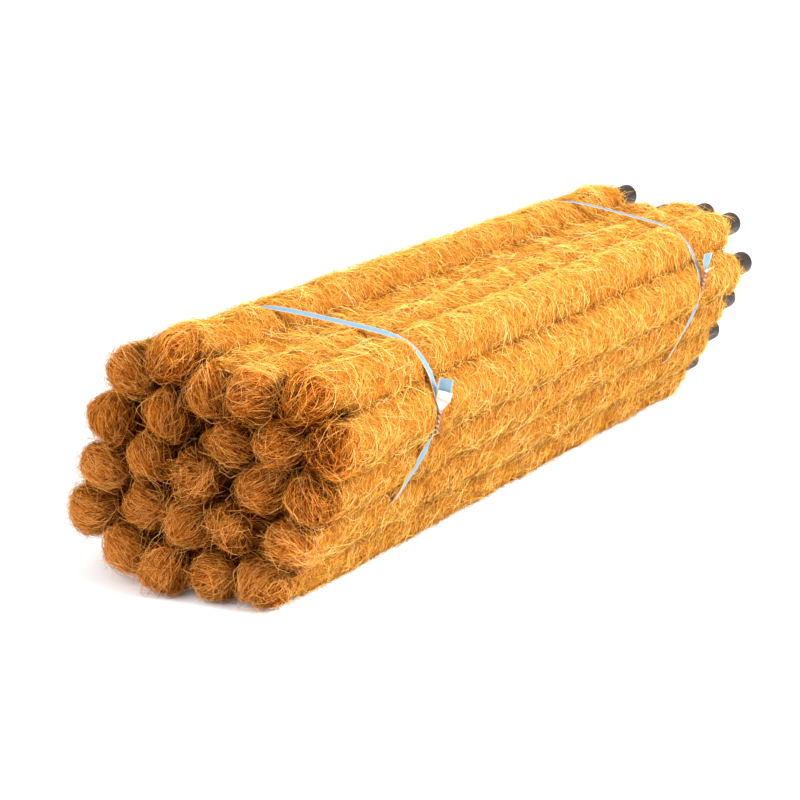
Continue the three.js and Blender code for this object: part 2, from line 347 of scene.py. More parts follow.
def in_stack(pole, spots):
    """Brings coir to its pole's place, drawn in where it would stand through a ribbon or the ground."""
    spots = spots + np.array([pole.head, *pole.axis])
    for tie in (FRONT_TIE, REAR_TIE):
        off = np.abs(spots[:, 0] - tie_place(tie, spots[:, 1], spots[:, 2]))
        near = np.flatnonzero(off < TIE_REACH)
        flat = spots[near, 1:]
        beyond = flat @ tie_facings.T - (tie_way * tie_facings).sum(axis=1)
        side = beyond.argmax(axis=1)
        proud = np.maximum(beyond.max(axis=1) + TIE_GAP, 0)
        held = 1 - smooth(TIE_BAND, TIE_REACH, off[near])
        held *= np.where(tie_facings[side, 0] < 0, smooth(*tie.lost, flat[:, 1]), 1)
        spots[near, 1:] = flat - tie_facings[side] * (proud * held)[:, None]
    spots[:, 2] = np.maximum(spots[:, 2], FLOOR_GAP)
    return spots


def coir_radius(pole, along, angle):
    """Radius of the felt at a distance behind the tip of the head, in a direction round the axis."""
    crowd = crowding(pole, angle)
    round_form = COIR_RADIUS - FELT_DEPTH
    pressed_form = round_form + SQUASH_FILL * crowd
    for towards, half in pole.pressed:
        lean = apart(angle, towards)
        wall = (half - BORE_GAP) / np.maximum(np.cos(lean), 0.2)
        pressed_form = np.where(lean < math.radians(75), np.minimum(pressed_form, wall), pressed_form)
    tied = smooth(0.018, 0.060, along) * smooth(0.0, 0.03, pole.coir_length - along)
    radius = round_form + (pressed_form - round_form) * tied
    radius = radius - HEAD_GAP * crowd * (1 - smooth(0.020, 0.050, along))
    for size, pitch, turns, start in pole.lumps:
        radius = radius + size * (1 - 0.7 * crowd) * np.sin(pitch * along + turns * angle + start)
    for size, turns, start in pole.bulges:
        radius = radius + size * (1 - smooth(0.020, 0.080, along)) * np.sin(turns * angle + start)
    foot = smooth(-0.016, 0.004, along - pole.coir_length)
    return radius * (1 - 0.2 * foot)


def on_coir(pole, spots):
    """Brings spots, counted from the head's tip and the pole's axis, onto the felt, with its facing."""
    along, across, up = spots[..., 0], spots[..., 1], spots[..., 2]
    angle = np.arctan2(up, across)
    radius = coir_radius(pole, np.maximum(along, 0.012), angle)
    on_head = np.minimum((along - HEAD_CROWN) / HEAD_CROWN, 0)
    out = np.maximum(np.hypot(across, up) / radius, 1e-4)
    reach = ((-on_head) ** HEAD_FLAT + out ** HEAD_FLAT) ** (1 / HEAD_FLAT)
    on_head, out = on_head / reach, out / reach
    outward = np.stack([np.cos(angle), np.sin(angle)], axis=-1)
    length = np.where(on_head < 0, HEAD_CROWN * (1 + on_head), along)
    placed = np.concatenate([length[..., None], outward * (out * radius)[..., None]], axis=-1)
    forward = -(-on_head) ** (HEAD_FLAT - 1) / HEAD_CROWN
    rise = out ** (HEAD_FLAT - 1) / radius
    return placed, unit(np.concatenate([forward[..., None], outward * rise[..., None]], axis=-1))


# Felted coir under the loose strands: matted brown fibre. It is seen between the strands as a weave of
# short light and dark streaks that run round the pole, so the streaks follow its own unrolled map.
felt, felt_shader = new_material("felted_coconut_fibre")
felt_map = add_node(felt, "UVMap", uv_map="unrolled").outputs[0]
felt_height = None
for turn, width, stretch in ((6, 0.0007, 0.05), (-28, 0.0006, 0.06), (41, 0.0007, 0.06), (78, 0.0006, 0.07)):
    laid = add_node(felt, "Mapping", {
        "Vector": felt_map, "Rotation": (0, 0, math.radians(turn)), "Scale": (1, stretch, 1)}).outputs[0]
    streak = add_node(felt, "TexNoise", {
        "Vector": laid, "Scale": 1 / width, "Detail": 2, "Roughness": 0.55, "Distortion": 0.4}).outputs["Fac"]
    if felt_height is None:
        felt_height = streak
    else:
        felt_height = add_node(felt, "Math", {
            0: felt_height, 1: streak}, operation="MAXIMUM").outputs[0]
felt_lit = add_node(felt, "MapRange", {
    "Value": felt_height, "From Min": 0.55, "From Max": 0.78}).outputs[0]
felt_mixed = add_node(felt, "Mix", {
    0: felt_lit, 6: linear("#763F10"), 7: linear("#DA9C44")}, data_type="RGBA").outputs[2]
felt_patch = add_node(felt, "TexNoise", {
    "Vector": felt_map, "Scale": 1 / 0.016, "Detail": 2}).outputs["Fac"]
felt_shade = add_node(felt, "MapRange", {
    "Value": felt_patch, "From Min": 0.35, "From Max": 0.65, "To Min": 0.0, "To Max": 0.35}).outputs[0]
felt_colour = add_node(felt, "Mix", {
    0: felt_shade, 6: felt_mixed, 7: linear("#A35917")}, data_type="RGBA").outputs[2]
# Painted shade: the felt turns near black where the sleeves press together near the heads and over the heads'
# fronts, where shade falls. A point attribute, 1 where the felt is left unshaded, sets how much.
felt_painted_dark = add_node(felt, "Mix", {
    0: felt_lit, 6: linear("#120501"), 7: linear("#4E2406")}, data_type="RGBA").outputs[2]
felt_unshaded = add_node(felt, "Attribute", attribute_name="felt_unshaded").outputs["Fac"]
felt_final = add_node(felt, "Mix", {
    0: felt_unshaded, 6: felt_painted_dark, 7: felt_colour}, data_type="RGBA").outputs[2]
felt_relief = add_node(felt, "Bump", {
    "Height": felt_height, "Strength": 0.8, "Distance": 0.0008}).outputs[0]
plug(felt, felt_shader, {
    "Base Color": felt_final, "Roughness": 0.85, "Specular IOR Level": 0.05, "Normal": felt_relief})

# One sleeve is turned from its profile: a point is drawn out ring by ring, then spun round the axis.
felt_length = first.coir_length
head_rings = 9
profile = []
for ring in range(head_rings + 1):
    angle = (math.pi / 2) * max(ring, 0.15) / head_rings
    profile.append((HEAD_CROWN * (1 - math.cos(angle)), COIR_RADIUS * math.sin(angle)))
side_rings = round((felt_length - HEAD_CROWN) / FELT_STEP)
for ring in range(1, side_rings + 1):
    profile.append((HEAD_CROWN + (felt_length - HEAD_CROWN) * ring / side_rings, COIR_RADIUS))
bore = PIPE_RADIUS + BORE_GAP
bore_start = first.pipe_start - first.head - BORE_GAP
profile += [(felt_length + 0.0005, FOOT_RIM), (felt_length - 0.0010, bore)]
profile += [(bore_start, bore), (bore_start, BORE_EYE)]
bpy.ops.object.select_all(action="DESELECT")
bpy.ops.mesh.primitive_plane_add(size=0.001, location=(0, 0, 0))
felt_pattern = bpy.context.active_object
bpy.ops.object.mode_set(mode="EDIT")
bpy.ops.mesh.select_mode(type="VERT")
bpy.ops.mesh.merge(type="CENTER")
bpy.ops.transform.translate(value=(profile[0][0], profile[0][1], 0))
for (x, y), (next_x, next_y) in zip(profile, profile[1:]):
    bpy.ops.mesh.extrude_vertices_move(TRANSFORM_OT_translate={"value": (next_x - x, next_y - y, 0)})
bpy.ops.mesh.select_all(action="SELECT")
bpy.ops.mesh.spin(steps=FELT_SIDES, angle=2 * math.pi, center=(0, 0, 0), axis=(1, 0, 0))
bpy.ops.mesh.select_all(action="SELECT")
bpy.ops.mesh.remove_doubles(threshold=SAME_SPOT)
bpy.ops.mesh.select_all(action="DESELECT")
bpy.ops.mesh.select_non_manifold()
bpy.ops.mesh.edge_face_add()
bpy.ops.mesh.select_all(action="SELECT")
bpy.ops.mesh.normals_make_consistent(inside=False)
bpy.ops.object.mode_set(mode="OBJECT")
bpy.ops.object.shade_smooth()
felt_pattern.data.materials.append(felt)


def corners_of(mesh):
    """The vertex at each corner of a mesh's faces."""
    vertices = np.empty(len(mesh.loops), int)
    mesh.loops.foreach_get("vertex_index", vertices)
    return vertices


felt_spots = places_of(felt_pattern.data)
corner_vertex = corners_of(felt_pattern.data)
face_sizes = [len(face.vertices) for face in felt_pattern.data.polygons]
corner_face = np.repeat(np.arange(len(face_sizes)), face_sizes)
for index, pole in enumerate(poles.values()):
    sleeve = copy_of(felt_pattern, f"coir_{pole.number}")
    spots = felt_spots.copy()
    sides = spots[:, 0] > HEAD_CROWN
    behind_head = spots[sides, 0] - HEAD_CROWN
    spots[sides, 0] += (pole.coir_length - felt_length) * behind_head / (felt_length - HEAD_CROWN)
    placed, facing = on_coir(pole, spots)
    grain = np.random.default_rng(5200 + index).normal(0, FELT_GRAIN, len(spots))
    foot = smooth(-0.004, 0, spots[:, 0] - pole.coir_length)
    moved = placed + facing * (grain * (1 - foot))[:, None]
    inner = (np.hypot(spots[:, 1], spots[:, 2]) < FOOT_RIM + SAME_SPOT) & (spots[:, 0] > HEAD_CROWN)
    moved[inner] = spots[inner]
    sleeve.data.vertices.foreach_set("co", in_stack(pole, moved).ravel())
    turned = np.arctan2(spots[:, 2], spots[:, 1])
    around = turned[corner_vertex]
    lowest = np.full(len(face_sizes), math.pi)
    np.minimum.at(lowest, corner_face, around)
    around = np.where(around - lowest[corner_face] > math.pi, around - 2 * math.pi, around)
    unrolled = np.stack([spots[corner_vertex, 0] + FELT_SHIFT * index, around * COIR_RADIUS], axis=-1)
    # Painted shade for the felt: darker between pressed sleeves, most of all close to the heads, and over the
    # front of each head.
    unshaded_layer = sleeve.data.attributes.new("felt_unshaded", "FLOAT", "POINT")
    gap = smooth(0.3, 0.9, crowding(pole, turned)) * smooth(0.004, 0.012, spots[:, 0])
    gap *= 0.40 + 0.60 * (1 - smooth(0.02, 0.06, spots[:, 0]))
    shaded = 1 - np.maximum(gap, 0.65 * (1 - smooth(0.006, 0.026, spots[:, 0])))
    unshaded_layer.data.foreach_set("value", shaded)
    layer = sleeve.data.uv_layers.new(name="unrolled")
    layer.data.foreach_set("uv", unrolled.ravel())
    sleeve.data.update()
    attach(sleeve, pole.body)
    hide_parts(f"coir_sleeve_{pole.number}")
bpy.data.objects.remove(felt_pattern)


# Loose coir: the springy strands that lie over the felt, wound round the pole, combed over its head
# and hanging over the pipe, with a few that stand off as stray hairs and flecks of dark husk.
STRAND_RADIUS = 0.00022  # as coarse as a strand needs to be to show; finer ones are left out
STAND_OFF = 0.0145  # the farthest that a stray end stands off the felt
BEDDED = 0.00015  # depth to which a strand lies in the felt


def strand_pattern(rings):
    """A three-sided sliver, one unit long and pointed at both ends: its vertices, faces and map."""
    bpy.ops.object.select_all(action="DESELECT")
    bpy.ops.mesh.primitive_cylinder_add(
        vertices=3, radius=1, depth=(rings - 1) / (rings + 1), end_fill_type="TRIFAN",
        location=(0.5, 0, 0), rotation=(0, math.pi / 2, 0))
    sliver = bpy.context.active_object
    bpy.ops.object.transform_apply(location=True, rotation=True, scale=True)
    bpy.ops.object.mode_set(mode="EDIT")
    bpy.ops.mesh.select_mode(type="EDGE")
    bpy.ops.mesh.select_all(action="DESELECT")
    bpy.ops.object.mode_set(mode="OBJECT")
    ends = places_of(sliver.data)
    for edge in sliver.data.edges:
        edge.select = bool(np.ptp(ends[list(edge.vertices), 0]) > 0.1)
    bpy.ops.object.mode_set(mode="EDIT")
    if rings > 2:
        bpy.ops.mesh.subdivide(number_cuts=rings - 2)
    bpy.ops.mesh.select_all(action="SELECT")
    bpy.ops.mesh.normals_make_consistent(inside=False)
    bpy.ops.object.mode_set(mode="OBJECT")
    spots = places_of(sliver.data)
    tips = np.hypot(spots[:, 1], spots[:, 2]) < 0.5
    spots[tips, 0] = np.where(spots[tips, 0] < 0.5, 0.0, 1.0)
    faces = [list(face.vertices) for face in sliver.data.polygons]
    turn = np.arctan2(spots[:, 2], spots[:, 1]) % (2 * math.pi)
    side = np.round(turn / (2 * math.pi / 3) - 0.25).astype(int)
    corners = []
    for face in faces:
        sides = [side[v] for v in face if not tips[v]]
        wraps = 0 in sides and 2 in sides
        for v in face:
            row = 1.5 if tips[v] else side[v] + (3 if wraps and side[v] == 0 else 0)
            corners.append((0.1 + 0.8 * spots[v, 0], 0.1 + 0.8 * row / 3))
    bpy.data.objects.remove(sliver)
    return SimpleNamespace(spots=spots, tips=tips, faces=faces, corners=np.array(corners), steps=rings + 2)


side_sliver = strand_pattern(2)
head_sliver = strand_pattern(3)
hair_sliver = strand_pattern(4)

# Coconut fibre: glossy straw to brown bristle, each strand of one tone that it carries along with it. Painted
# shade is mixed into these tones where the strands lie in shade.
coir, coir_shader = new_material("coconut_fibre_strands")
coir_tone = add_node(coir, "Attribute", attribute_name="strand_tone").outputs["Color"]
plug(coir, coir_shader, {
    "Base Color": coir_tone, "Roughness": 0.55, "Specular IOR Level": 0.04, "IOR": 1.5})
COIR_TONES = np.array([linear(tone)[:3] for tone in (
    "#F6D385", "#ECB958", "#DF9F38", "#C98224", "#A86116", "#7C400B", "#451F05")])
SHADE_TINT = np.array([1.0, 0.61, 0.42])  # painted shade, a browner tint for strands on the heads and between sleeves
HUSK_TONE = np.array(linear("#5A2F10")[:3])


def lay_strands(pole, draw, pattern, starts, aims, lengths, bends, lifts, ends, girths):
    """Runs each strand over the coir from its start, and gives its vertices."""
    steps = pattern.steps
    spots, facing = on_coir(pole, starts)
    aims = unit(aims - facing * (aims * facing).sum(-1, keepdims=True))
    stride = (lengths / (steps - 1))[:, None]
    way, out = [spots], [facing]
    for _ in range(steps - 1):
        ahead, facing = on_coir(pole, way[-1] + aims * stride)
        aims = unit(ahead - way[-1])
        turn = (bends * stride[:, 0] + draw.normal(0, 0.10, len(lengths)))[:, None]
        aims = aims * np.cos(turn) + np.cross(facing, aims) * np.sin(turn)
        way.append(ahead)
        out.append(facing)
    way, out = np.stack(way, axis=1), np.stack(out, axis=1)
    share = np.linspace(0, 1, steps)
    height = lifts[:, None] * np.sin(math.pi * share) + ends[:, None] * share ** 2.5 - BEDDED
    way = way + out * np.minimum(height, STAND_OFF)[..., None]
    return strand_bodies(pattern, way, out, STRAND_RADIUS * draw.uniform(*girths, len(lengths)))


def strand_bodies(pattern, way, out, radii):
    """Lays the sliver along every way: vertices by strand."""
    ahead = unit(np.gradient(way, axis=1))
    beside = unit(np.cross(ahead, out))
    above = np.cross(beside, ahead)
    step = np.round(pattern.spots[:, 0] * (pattern.steps - 1)).astype(int)
    angle = np.arctan2(pattern.spots[:, 2], pattern.spots[:, 1])
    share = step / (pattern.steps - 1)
    girth = np.where(pattern.tips, 0, 0.55 + 0.45 * np.sin(math.pi * share))
    reach = radii[:, None] * girth
    return (way[:, step] + above[:, step] * (reach * np.cos(angle))[..., None]
            + beside[:, step] * (reach * np.sin(angle))[..., None])


def strand_object(pole, batches):
    """Joins the batches of strands of one pole into one piece that rides with it."""
    spots, tones, corner_of, sizes, cells = [], [], [], [], []
    across = math.ceil(math.sqrt(sum(len(bodies) for _, bodies, _ in batches)))
    first_vertex, first_strand = 0, 0
    for pattern, bodies, colours in batches:
        strands, corners = bodies.shape[:2]
        flat_face = np.concatenate(pattern.faces)
        starts = first_vertex + np.arange(strands)[:, None] * corners
        corner_of.append((starts + flat_face).ravel())
        sizes.append(np.tile([len(face) for face in pattern.faces], strands))
        spots.append(bodies.reshape(-1, 3))
        tones.append(np.repeat(colours, corners, axis=0))
        place = first_strand + np.arange(strands)
        cell = np.stack([place % across, place // across], axis=-1)[:, None, :]
        cells.append(((cell + pattern.corners) / across).reshape(-1, 2))
        first_vertex += strands * corners
        first_strand += strands
    spots = in_stack(pole, np.concatenate(spots))
    corner_of, sizes = np.concatenate(corner_of), np.concatenate(sizes)
    mesh = bpy.data.meshes.new(f"strands_{pole.number}")
    mesh.vertices.add(len(spots))
    mesh.vertices.foreach_set("co", spots.ravel())
    mesh.loops.add(len(corner_of))
    mesh.loops.foreach_set("vertex_index", corner_of)
    mesh.polygons.add(len(sizes))
    mesh.polygons.foreach_set("loop_start", np.concatenate([[0], np.cumsum(sizes)[:-1]]))
    mesh.polygons.foreach_set("use_smooth", np.ones(len(sizes), bool))
    mesh.update(calc_edges=True)
    tone = mesh.attributes.new("strand_tone", "FLOAT_COLOR", "POINT")
    shades = np.concatenate([np.concatenate(tones), np.ones((len(spots), 1))], axis=1)
    tone.data.foreach_set("color", shades.ravel())
    mesh.uv_layers.new(name="OFBake").data.foreach_set("uv", np.concatenate(cells).ravel())
    mesh.materials.append(coir)
    strands = bpy.data.objects.new(mesh.name, mesh)
    bpy.context.scene.collection.objects.link(strands)
    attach(strands, pole.body)


def strand_tones(draw, lifts, middle, spread, shaded=0.0):
    """One tone for each strand. Those that lie deeper are mostly darker, as painted shade."""
    depth = 1 - np.argsort(np.argsort(lifts)) / len(lifts)
    at = middle + shaded + spread * (1.3 * (depth - 0.5) + draw.normal(0, 0.55, len(lifts)))
    at = np.clip(at, 0, len(COIR_TONES) - 1.001)
    share = (at % 1)[:, None]
    return COIR_TONES[at.astype(int)] * (1 - share) + COIR_TONES[at.astype(int) + 1] * share


ROSE = np.linspace(-math.pi, math.pi, 721)  # directions round a sleeve
LOOKS = np.radians((-60, -40, -20, 0, 20, 40, 60))  # to either side of each of them
EVENED = 12  # directions to either side over which the outlook is evened out
LIT_SIDE = (-0.64, 0.77)  # across and up, towards the lamps
for pole in poles.values():
    # Share of the outlook across the stack, in each direction round the sleeve, that no other one blocks.
    others = axes[np.abs(axes - pole.axis).max(axis=1) > 0.001]
    skin = pole.axis + COIR_RADIUS * np.stack([np.cos(ROSE), np.sin(ROSE)], axis=-1)
    away = others[None] - skin[:, None]
    pole.outlook = np.zeros(len(ROSE))
    for lean in LOOKS:
        y, z = np.cos(ROSE + lean)[:, None], np.sin(ROSE + lean)[:, None]
        ahead = away[..., 0] * y + away[..., 1] * z
        aside = np.abs(away[..., 0] * z - away[..., 1] * y)
        pole.outlook += ~((ahead > 0) & (aside < COIR_RADIUS)).any(axis=1) / len(LOOKS)
    evened = sum(np.roll(pole.outlook[:-1], shift) for shift in range(-EVENED, EVENED + 1))
    pole.outlook = np.append(evened, evened[0]) / (2 * EVENED + 1)


def towards_lamps(angle):
    """How far a direction round a sleeve is turned to the lamps, from -1 to 1."""
    return np.cos(angle) * LIT_SIDE[0] + np.sin(angle) * LIT_SIDE[1]


def from_axis(starts):
    """How far spots lie from the pole's axis, as a share of the sleeve's radius."""
    return np.hypot(starts[:, 1], starts[:, 2]) / COIR_RADIUS


def round_spots(along, angle):
    """Spots on a plain round sleeve, at distances behind the head's tip and angles round the axis."""
    return np.stack([along, np.cos(angle) * COIR_RADIUS, np.sin(angle) * COIR_RADIUS], axis=-1)


def painted_shade_share(pole, starts):
    """Share of painted shade, 1 on the heads and deep between sleeves, down to 0 on the open sides that face
    the lamps.
    """
    angle = np.arctan2(starts[:, 2], starts[:, 1])
    outlook = np.interp(angle, ROSE, pole.outlook)
    lit = smooth(-0.2, 0.6, towards_lamps(angle)) * smooth(0.3, 0.9, from_axis(starts))
    on_head = 1 - smooth(0.006, 0.026, starts[:, 0])
    on_head *= 1 - 0.25 * smooth(0, 0.6, outlook) * lit
    return np.maximum(0.8 * (1 - smooth(0.2, 0.75, outlook)), on_head)[:, None]


SIDE_STRANDS = 13000  # on a sleeve that is free all round
HIDDEN_STRANDS = 350  # on one that is pressed all round
HEAD_FIBRES = 800
HEAD_STRANDS = 700
HEAD_LOCKS = 300
HEAD_HAIRS = 90
STRAY_HAIRS = 1200  # on a sleeve that is free all round
HEAD_FUZZ = 80
SIDE_FUZZ = 2300  # on a sleeve that is free all round
FOOT_STRANDS = 190
HUSK_FLECKS = 150

rose = ROSE[:-1]
for index, pole in enumerate(poles.values()):
    draw = np.random.default_rng(6300 + index)
    shown = smooth(0.15, 0.8, pole.outlook[:-1]) * (0.4 + 0.6 * smooth(-0.6, 0.5, towards_lamps(rose)))
    chance = 0.03 + shown
    chance /= chance.sum()

    # Wound round the sides.
    count = round(HIDDEN_STRANDS + SIDE_STRANDS * shown.mean())
    angle = draw.choice(rose, count, p=chance) + draw.uniform(0, 0.009, count)
    along = draw.uniform(0.012, pole.coir_length - 0.003, count)
    starts = round_spots(along, angle)
    lean = np.where(draw.random(count) < 0.5, draw.normal(0, 0.6, count), draw.uniform(-1.6, 1.6, count))
    lean += np.where(draw.random(count) < 0.5, 0, math.pi)
    aims = np.stack([np.sin(lean), -np.sin(angle) * np.cos(lean), np.cos(angle) * np.cos(lean)], axis=-1)
    lengths = draw.uniform(0.009, 0.026, count)
    bends = draw.normal(0, 105, count)
    crowd = crowding(pole, angle)
    lifts = draw.gamma(2.0, 0.00055, count) * (1 + 0.8 * crowd * smooth(0.05, 0.12, along))
    ends = np.where(draw.random(count) < 0.45, draw.exponential(0.0022, count), 0)
    bodies = lay_strands(pole, draw, side_sliver, starts, aims, lengths, bends, lifts, ends, (0.45, 0.82))
    # Painted shade: strands are darker between the sleeves close to the heads, in the grooves and where other
    # sleeves close off the outlook. The patchy part is a tone that differs at random.
    between = (1 - smooth(0.02, 0.06, along)) * smooth(0.15, 0.6, crowd)
    outlook = np.interp(angle, ROSE, pole.outlook)
    groove_shade = np.maximum(smooth(0.25, 0.8, crowd), 1 - smooth(0.35, 0.8, outlook))
    groove_shade = 2.3 * groove_shade * smooth(0.03, 0.20, along)
    patchy = sum(np.sin(pitch * along + turns * angle + start) for _, pitch, turns, start in pole.lumps)
    patchy /= len(pole.lumps)
    tones = strand_tones(draw, lifts, 1.75, 1.1, np.maximum(4.5 * between, groove_shade) - 1.6 * patchy)
    tones *= SHADE_TINT ** painted_shade_share(pole, starts) * (1 - 0.6 * between)[:, None]
    kept = draw.random(count) > 0.9 * between
    batches = [(side_sliver, bodies[kept], tones[kept])]

    # Combed over the head in locks, each head its own way, the longest strands over a mat of short ones.
    combed = draw.normal(0, 1, 3) * np.array([0.5, 1, 1])
    combed = combed / np.linalg.norm(combed)
    fanned, wound = draw.uniform(-0.5, 0.5, 2)
    aside = np.cross(combed, (1, 0, 0))
    aside = aside / np.linalg.norm(aside)
    lock_widths, lock_starts = draw.uniform(0.004, 0.011, 3), draw.uniform(0, 2 * math.pi, 3)
    # Painted shade: the heads high in the stack are browner, and so are the crowns on its right side.
    high_stack_shade = 1.2 * smooth(0.05, 0.17, pole.axis[1]) - 0.45
    crown_shade = 2.6 * pole.outlook[0] * smooth(0.05, 0.13, pole.axis[1])
    # The last column weighs the painted shade tint for each layer of strands.
    for count, pattern, shortest, longest, spring, middle, brown in (
            (HEAD_FIBRES, side_sliver, 0.006, 0.014, 0.0003, 2.7, 1.0),
            (HEAD_STRANDS, side_sliver, 0.012, 0.024, 0.0007, 1.7, 0.9),
            (HEAD_LOCKS, head_sliver, 0.022, 0.038, 0.0010, 0.9, 0.8)):
        starts = unit(draw.normal(0, 1, (count, 3)))
        starts[:, 0] = np.where(starts[:, 0] > 0.25, -starts[:, 0], starts[:, 0])
        starts = np.array([HEAD_CROWN, 0, 0]) + starts * np.array([HEAD_CROWN, COIR_RADIUS, COIR_RADIUS])
        stray = np.where(draw.random(count) < 0.91, 0.17, 1.2)[:, None]
        outward = starts * np.array([0, 1, 1]) / COIR_RADIUS
        around = np.cross((1, 0, 0), outward)
        either_way = np.where(draw.random(count) < 0.5, 1, -1)[:, None]
        aims = (combed + fanned * outward + wound * around) * either_way
        aims = aims + stray * draw.normal(0, 1, (count, 3))
        waver = 0.0015 * np.sin(2 * math.pi * (starts @ combed)[:, None] / 0.017 + lock_starts[::-1])
        across_locks = 2 * math.pi * ((starts @ aside)[:, None] + waver) / lock_widths
        locks = np.sin(across_locks + lock_starts).mean(axis=1)
        lengths = draw.uniform(shortest, longest, count)
        bends = draw.normal(0, 9, count)
        lifts = draw.gamma(2.0, spring, count) * (1 + 0.9 * locks)
        ends = np.where(draw.random(count) < 0.4, draw.exponential(0.0022, count), 0)
        bodies = lay_strands(pole, draw, pattern, starts, aims, lengths, bends, lifts, ends, (0.5, 0.9))
        turned = np.arctan2(starts[:, 2], starts[:, 1])
        shut_in = 1 - smooth(0.1, 0.5, np.interp(turned, ROSE, pole.outlook))
        # Painted shade: strands at the rim where heads crowd each other, or where the outlook is shut in, are
        # darker.
        rim = smooth(0.6, 1.0, from_axis(starts)) * np.maximum(crowding(pole, turned), shut_in)
        shade = high_stack_shade + crown_shade * (1 - smooth(0.008, 0.020, starts[:, 0])) + 4.0 * rim - 1.4 * locks
        tones = strand_tones(draw, lifts, middle, 2.4, shade) * (1 - 0.6 * rim)[:, None]
        batches.append((pattern, bodies, tones * SHADE_TINT ** (brown * painted_shade_share(pole, starts))))

    # Stray hairs and shorter fuzz that stand off the head and the free sides.
    for on_head, on_sides, pattern, shortest, longest, highest, darker in (
            (HEAD_HAIRS, STRAY_HAIRS, hair_sliver, 0.014, 0.040, 0.0145, 0.0),
            (HEAD_FUZZ, SIDE_FUZZ, side_sliver, 0.005, 0.013, 0.006, 0.8)):
        count = round(on_head + on_sides * shown.mean())
        angle = draw.choice(rose, count, p=chance)
        along = draw.uniform(0.01, pole.coir_length, count)
        along[:on_head] = draw.uniform(0, 0.012, on_head)
        angle[:on_head] = draw.uniform(-math.pi, math.pi, on_head)
        starts = round_spots(along, angle)
        starts[:on_head, 1:] *= draw.uniform(0.3, 1, (on_head, 1))
        aims = draw.normal(0, 1, (count, 3))
        lengths = draw.uniform(shortest, longest, count)
        bends = draw.normal(0, 40, count)
        lifts = draw.gamma(2.0, 0.0006, count)
        ends = draw.uniform(0.0015, highest, count)
        bodies = lay_strands(pole, draw, pattern, starts, aims, lengths, bends, lifts, ends, (0.55, 0.90))
        # Painted shade: hairs near the crowded rims of the heads are darker, and all take part of the shade
        # tint.
        rim = smooth(0.6, 1.0, from_axis(starts)) * crowding(pole, angle)
        tones = strand_tones(draw, lifts, 1.6 + darker, 2.0, 3.5 * rim * (1 - smooth(0.03, 0.08, along)))
        tones *= SHADE_TINT ** (0.75 * painted_shade_share(pole, starts))
        batches.append((pattern, bodies, tones))

    # Ragged end, hanging over the pipe.
    count = FOOT_STRANDS
    angle = draw.uniform(-math.pi, math.pi, count)
    along = pole.coir_length - draw.uniform(0.002, 0.014, count)
    starts = round_spots(along, angle)
    lean = draw.normal(0, 0.6, count)
    aims = np.stack([np.cos(lean), -np.sin(angle) * np.sin(lean), np.cos(angle) * np.sin(lean)], axis=-1)
    lengths = draw.uniform(0.010, 0.027, count)
    bends = draw.normal(0, 40, count)
    lifts = draw.gamma(2.0, 0.0004, count)
    ends = draw.normal(0.0008, 0.0024, count)
    bodies = lay_strands(pole, draw, side_sliver, starts, aims, lengths, bends, lifts, ends, (0.7, 1.2))
    batches.append((side_sliver, bodies, strand_tones(draw, lifts, 2.1, 1.4)))

    # Flecks of dark husk caught among the strands.
    count = HUSK_FLECKS
    angle = draw.choice(rose, count, p=chance)
    along = draw.uniform(0, pole.coir_length, count)
    starts = round_spots(along, angle)
    aims = draw.normal(0, 1, (count, 3))
    lengths = draw.uniform(0.0015, 0.006, count)
    lifts = draw.uniform(0.0003, 0.0014, count)
    flat = np.zeros(count)
    bodies = lay_strands(pole, draw, side_sliver, starts, aims, lengths, flat, lifts, flat, (0.9, 2.2))
    batches.append((side_sliver, bodies, HUSK_TONE * draw.uniform(0.6, 2.0, (count, 1))))

    strand_object(pole, batches)


# Ties: two twist ties, ribbons of blue film with a white back over flat wire, drawn tight round the
# stack. Their ends are gathered, twisted together on the right side and left as two tails.
NECK_WIDTH = 0.0032
TAIL_WIDTH = 0.0112
RIBBON_THICK = 0.0004
NECK_LENGTH = 0.0160
NECK_OUT = 0.0024  # middle of the twist from the ribbon's own way round the stack
STRAND_APART = 0.0009
GATHER = 0.014  # distance over which the ribbon narrows towards the twist
SIDE_ROLL = math.radians(20)  # below the knot the ribbon is turned a little towards the heads
KNOT_LEAD = 0.006  # on either side of the knot, where the ribbon leaves the coir
RIBBON_ROWS = 7
TAIL_STATIONS = 34
FOLDS = 10  # waves of which the crinkle is made up
WIRE_RIDGE = 0.00022  # height at which the flat wire shows along the middle of the film


